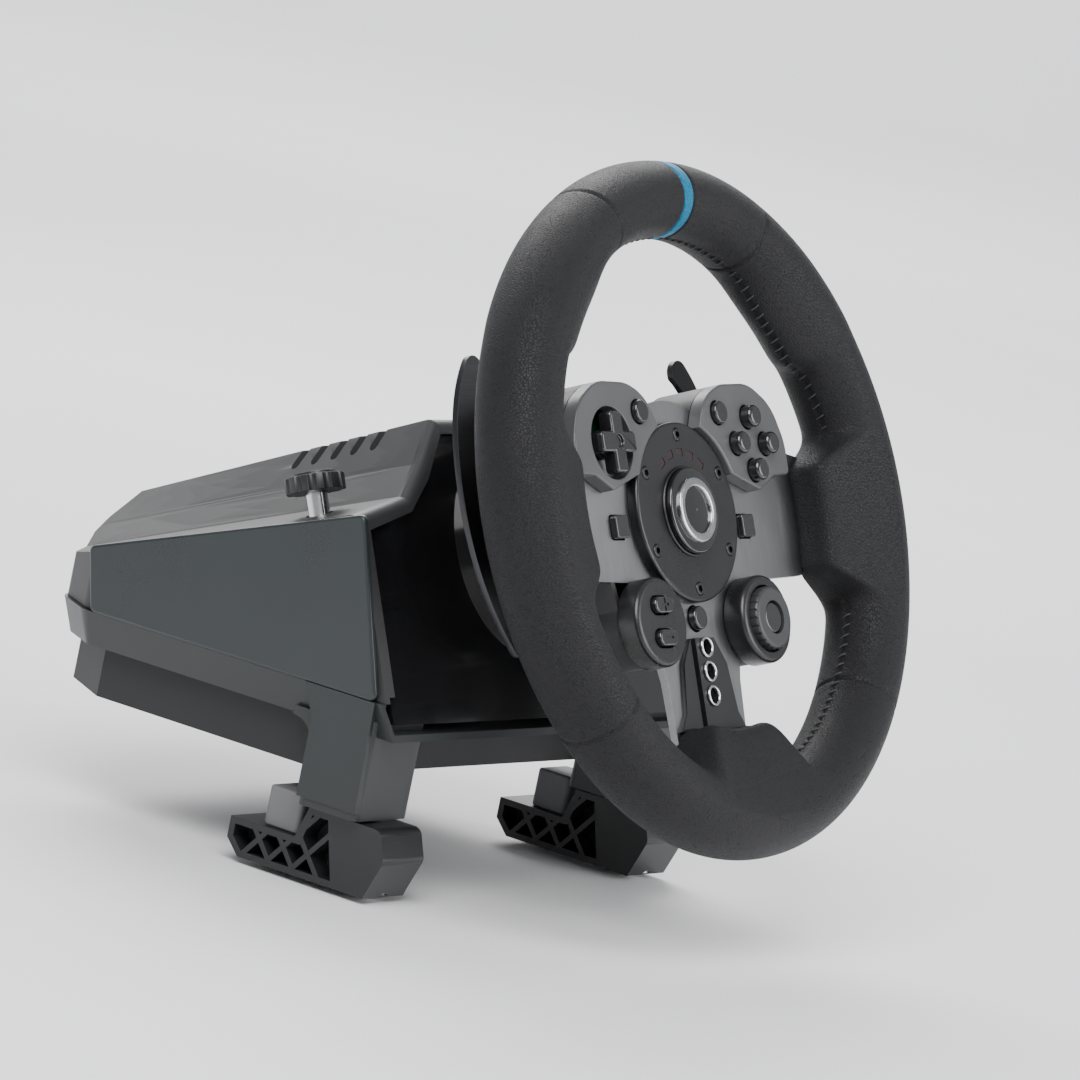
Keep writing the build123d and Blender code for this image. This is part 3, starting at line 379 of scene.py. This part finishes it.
FINISHES = {
    "core": brushed("ring_steel", (0.3, 0.3, 0.31), (0.5, 0.5, 0.51), (1, 8, 8)),
    "brushed": brushed("brushed_spoke", (0.17, 0.173, 0.18), (0.33, 0.335, 0.345), (60, 1, 1),
                       rough=0.34),
    "plate": moulded("graphite_plate", (0.052, 0.053, 0.056), (0.078, 0.079, 0.083), rough=0.36,
                     specular=0.6),
    "hub_gloss": moulded("hub_black", (0.006, 0.006, 0.0065), (0.014, 0.014, 0.015), rough=0.3),
    "badge": brushed("badge_chrome", (0.42, 0.43, 0.45), (0.62, 0.63, 0.65), (3, 3, 3), rough=0.2),
    "screws": brushed("black_screw", (0.03, 0.03, 0.032), (0.09, 0.09, 0.095), (3, 3, 3), rough=0.4),
    "lights": moulded("smoked_light", (0.012, 0.004, 0.004), (0.022, 0.006, 0.006), rough=0.16,
                      coat=0.6),
    "wheel_plastic": moulded("hub_shell_black", (0.007, 0.007, 0.0075), (0.016, 0.016, 0.017)),
    "pod": moulded("pod_black", (0.008, 0.008, 0.009), (0.018, 0.018, 0.019), rough=0.28),
    "button": moulded("button_black", (0.008, 0.008, 0.009), (0.016, 0.016, 0.017), scale=1500,
                      rough=0.2, depth=0.00001, coat=0.7),
    "dial": moulded("dial_grey", (0.022, 0.022, 0.024), (0.045, 0.045, 0.048), rough=0.36),
    "inner_plastic": moulded("inner_black", (0.02, 0.02, 0.021), (0.04, 0.04, 0.042)),
    "board": moulded("solder_mask", (0.004, 0.05, 0.018), (0.01, 0.1, 0.035), rough=0.3, coat=0.4),
    "paddle": brushed("black_steel", (0.035, 0.035, 0.037), (0.09, 0.09, 0.094), (1, 30, 30),
                      rough=0.36),
    "steel": brushed("ground_steel", (0.4, 0.4, 0.41), (0.62, 0.62, 0.63), (30, 30, 30), rough=0.28),
    "gear": moulded("nylon_gear", (0.5, 0.48, 0.42), (0.62, 0.6, 0.54), rough=0.45),
    "shell": moulded("shell_grey", (0.018, 0.018, 0.019), (0.034, 0.034, 0.036), rough=0.5),
    "lower": moulded("lower_grey", (0.0125, 0.0148, 0.0158), (0.0245, 0.028, 0.0292), rough=0.4),
    "tray": moulded("tray_black", (0.008, 0.008, 0.009), (0.02, 0.02, 0.021), rough=0.6),
    "fascia": moulded("fascia_gloss", (0.004, 0.004, 0.0045), (0.008, 0.008, 0.009), scale=900,
                      rough=0.16, depth=0.00001, coat=0.8),
    "side_panel": moulded("panel_satin", (0.014, 0.0182, 0.0196), (0.025, 0.0308, 0.0326), scale=3200,
                          rough=0.3, depth=0.00003),
    "feet": moulded("rubber_black", (0.012, 0.012, 0.012), (0.024, 0.024, 0.024), rough=0.8,
                    depth=0.0001),
    "brass": brushed("turned_brass", (0.45, 0.3, 0.1), (0.62, 0.45, 0.2), (10, 10, 80), rough=0.35),
    "gearbox": moulded("cast_housing", (0.28, 0.28, 0.29), (0.42, 0.42, 0.43), rough=0.5, depth=0.0001),
    "motor": brushed("motor_can", (0.3, 0.3, 0.31), (0.5, 0.5, 0.51), (1, 20, 20), rough=0.35),
    "clamp": moulded("clamp_black", (0.008, 0.008, 0.009), (0.02, 0.02, 0.0215), rough=0.4),
    "rod": brushed("polished_rod", (0.55, 0.55, 0.56), (0.75, 0.75, 0.76), (4, 4, 40), rough=0.16),
    "pad": moulded("pad_grey", (0.11, 0.11, 0.114), (0.17, 0.17, 0.175), rough=0.6, depth=0.0001),
}
SLOT_OF = {part["node"]: part["material_slot"] for part in frame["record"]["subparts"]}
for node, piece in frame["nodes"].items():
    material = FINISHES.get(SLOT_OF[node])
    if material:
        piece.data.materials.clear()
        piece.data.materials.append(material)

# ---------------------------------------------------------------- softened edges
# Moulded, cast and pressed parts leave the tool with a small radius on every outside edge, which
# catches the light as a thin line. Each copy stands for the CAD piece it was taken from.
BODIES = frame["record"]["behaviour"]["bodies"]
BODY_OF = {node: body for body, nodes in BODIES.items() for node in nodes}
LARGE_FLAT = 4e-5


def softened(node, radius, smooth, segments=3, flat=1.2, sharp=28):
    """A merged copy of a CAD piece. Triangles within flat degrees of one plane are joined, and edges
    over sharp degrees are rounded. Large faces stay flat-shaded, and so do all where smooth is off."""
    source = frame["nodes"][node]
    mesh = source.data.copy()
    work = bmesh.new()
    work.from_mesh(mesh)
    bmesh.ops.remove_doubles(work, verts=work.verts, dist=2e-6)
    bmesh.ops.dissolve_limit(work, angle_limit=math.radians(flat), verts=work.verts, edges=work.edges)
    work.to_mesh(mesh)
    work.free()
    rounded = [smooth and face.area < LARGE_FLAT for face in mesh.polygons]
    mesh.polygons.foreach_set("use_smooth", rounded)
    piece = bpy.data.objects.new(node + "_soft", mesh)
    bpy.context.scene.collection.objects.link(piece)
    bevel = piece.modifiers.new("edge_radius", "BEVEL")
    bevel.width = radius
    bevel.segments = segments
    bevel.limit_method = "ANGLE"
    bevel.angle_limit = math.radians(sharp)
    bevel.use_clamp_overlap = True
    bevel.harden_normals = True
    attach(piece, BODY_OF[node])
    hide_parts(node)


EDGE_RADII = {
    "upper_shell": 0.0022, "side_panel_left": 0.0009, "side_panel_right": 0.0009,
    "lower_shell": 0.0012, "clamp_arm_left": 0.0008, "clamp_arm_right": 0.0008,
    "clamp_pad_left": 0.001, "clamp_pad_right": 0.001,
    "button_plate_left": 0.0009, "button_plate_right": 0.0009,
    "hub_rear_cover": 0.0008, "paddle_left": 0.0006, "paddle_right": 0.0006,
    "spoke_frame": 0.0004, "clamp_knob_left": 0.0006, "clamp_knob_right": 0.0006,
    "base_tray": 0.0008, "dpad": 0.0005, "hub_front_cover": 0.0007, "thumb_pods": 0.0016,
}
FLAT_SHADED = ("button_plate_left", "button_plate_right", "spoke_frame")
for node, radius in EDGE_RADII.items():
    softened(node, radius, node not in FLAT_SHADED)

# ---------------------------------------------------------------- hub badge
# The middle of the hub is a gloss black dome with a plain polished ring let into it.
def turned_part(name, radius, height, colour, rings=96):
    """Sweeps a closed outline of radii and heights round the steering axis through the hub."""
    around = np.linspace(0, 2 * np.pi, rings, endpoint=False)[:, None]
    radius, height = np.array(radius)[None, :], np.array(height)[None, :]
    points = wheel_points(radius * np.cos(around), radius * np.sin(around), height + 0 * around)
    piece = surface(name, points, wrap_rows=True, wrap_columns=True)
    face_out(piece)
    piece.data.materials.append(colour)
    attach(piece, "wheel")
    return piece


CROWN_R = 0.0150
DOME_R = 0.0159
POLE_R = 0.0001
DOME_FOOT = -0.0068
bow = np.linspace(0, 1, 24)
quarter = np.pi / 2 * bow[1:]
dome_r = [[POLE_R], CROWN_R * bow[1:], CROWN_R + (DOME_R - CROWN_R) * np.sin(quarter), [DOME_R, POLE_R]]
dome_w = [[-0.0011], -0.0011 - 0.0007 * bow[1:] ** 2, -0.0027 + 0.0009 * np.cos(quarter),
          [DOME_FOOT, DOME_FOOT]]
dome = turned_part("badge_dome", np.concatenate(dome_r), np.concatenate(dome_w), FINISHES["fascia"])
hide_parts("hub_badge")
edge = np.linspace(0, 2 * np.pi, 28, endpoint=False)
square_cos = np.sign(np.cos(edge)) * np.abs(np.cos(edge)) ** 0.6
square_sin = np.sign(np.sin(edge)) * np.abs(np.sin(edge)) ** 0.6
turned_part("badge_ring", 0.0104 + 0.0017 * square_cos, -0.0012 + 0.0011 * square_sin,
            FINISHES["badge"])
turned_part("badge_bezel", 0.0163 + 0.0006 * np.cos(edge), -0.0048 + 0.0007 * np.sin(edge),
            FINISHES["screws"])

# ---------------------------------------------------------------- ladder eyelets
# Three bright rings are pressed into the ladder on the bottom spoke, one round each hole.
EYELET_R = 0.0034
EYELET_WIRE = 0.0006
around = np.linspace(0, 2 * np.pi, 40, endpoint=False)[:, None]
across = np.linspace(0, 2 * np.pi, 16, endpoint=False)[None, :]
reach = EYELET_R + EYELET_WIRE * np.cos(across)
for number, v in enumerate((-0.050, -0.059, -0.068)):
    points = wheel_points(reach * np.cos(around), v + reach * np.sin(around),
                          -0.0057 + EYELET_WIRE * np.sin(across) + 0 * around)
    eyelet = surface(f"ladder_eyelet_{number + 1}", points, wrap_rows=True, wrap_columns=True)
    face_out(eyelet)
    eyelet.data.materials.append(FINISHES["rod"])
    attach(eyelet, "wheel")

# ---------------------------------------------------------------- floor, light and camera
# A pale seamless floor that curves up behind, two large soft lights and a weak fill on the object,
# and one more light on the backdrop, all seen through a long lens.
floor_at = cad_box[0][2] - 0.0005
run = np.linspace(0, 1, 60)[None, :]
wide = np.linspace(-6, 6, 9)[:, None]
bend = np.clip((run - 0.5) / 0.25, 0, 1) * np.pi / 2
back = np.where(run < 0.5, -3 + 14 * run, 4 + 1.2 * np.sin(bend))
height = np.where(run < 0.5, 0, 1.2 * (1 - np.cos(bend))) + np.clip(run - 0.75, 0, 1) * 16
turned = math.radians(57.4)
floor_points = np.stack(np.broadcast_arrays(
    wide * math.cos(turned) + back * math.sin(turned),
    -wide * math.sin(turned) + back * math.cos(turned),
    floor_at + height), -1)
floor = surface("floor", floor_points)
floor_paint, floor_shader, floor_place = finish("floor_paint", (0.84, 0.84, 0.85), 0.7)
floor_tone = speckle(floor_place, 6, 2).between((0.82, 0.82, 0.83), (0.86, 0.86, 0.87))
put(floor_shader, "Base Color", floor_tone)
floor.data.materials.append(floor_paint)


def soft_light(name, at, aim, size, power):
    """A rectangular lamp at one place facing another."""
    light = bpy.data.lights.new(name, "AREA")
    light.shape = "RECTANGLE"
    light.size = size[0]
    light.size_y = size[1]
    light.energy = power
    lamp = bpy.data.objects.new(name, light)
    lamp.location = at
    lamp.rotation_euler = (Vector(aim) - Vector(at)).to_track_quat("-Z", "Y").to_euler()
    bpy.context.scene.collection.objects.link(lamp)


MIDDLE = (0.0, 0.0, 0.08)
soft_light("key_light", (-1.1, -0.6, 1.5), MIDDLE, (1.2, 1.2), 44)
soft_light("rim_light", (0.9, 1.0, 1.2), MIDDLE, (1.4, 0.8), 34)
soft_light("fill_light", (0.6, -1.6, 0.6), MIDDLE, (1.4, 1.0), 22)
soft_light("backdrop_light", (1.9, 1.2, 2.2), (3.6, 2.3, 0.9), (2.4, 1.6), 130)
world = bpy.data.worlds.new("studio")
bpy.context.scene.world = world
world.use_nodes = True
world.node_tree.nodes["Background"].inputs[0].default_value = (0.85, 0.87, 0.9, 1.0)
world.node_tree.nodes["Background"].inputs[1].default_value = 0.55

camera_data = bpy.data.cameras.new("camera")
camera = bpy.data.objects.new("camera", camera_data)
bpy.context.scene.collection.objects.link(camera)
right = Vector((0.552, -0.8095, 0.200))
lift = Vector((0.0073, 0.2445, 0.970))
view_back = right.cross(lift).normalized()
right = lift.cross(view_back).normalized()
lift = view_back.cross(right)
VIEW_FROM = 2.6
VIEW_WIDTH = 0.400
SENSOR = 36
AIM = Vector((0.0, -0.012, 0.088))
turn = Matrix((right, lift, view_back)).transposed().to_4x4()
camera.matrix_world = Matrix.Translation(AIM + view_back * VIEW_FROM) @ turn
camera_data.lens = SENSOR * VIEW_FROM / VIEW_WIDTH
camera_data.clip_end = 30
bpy.context.scene.camera = camera
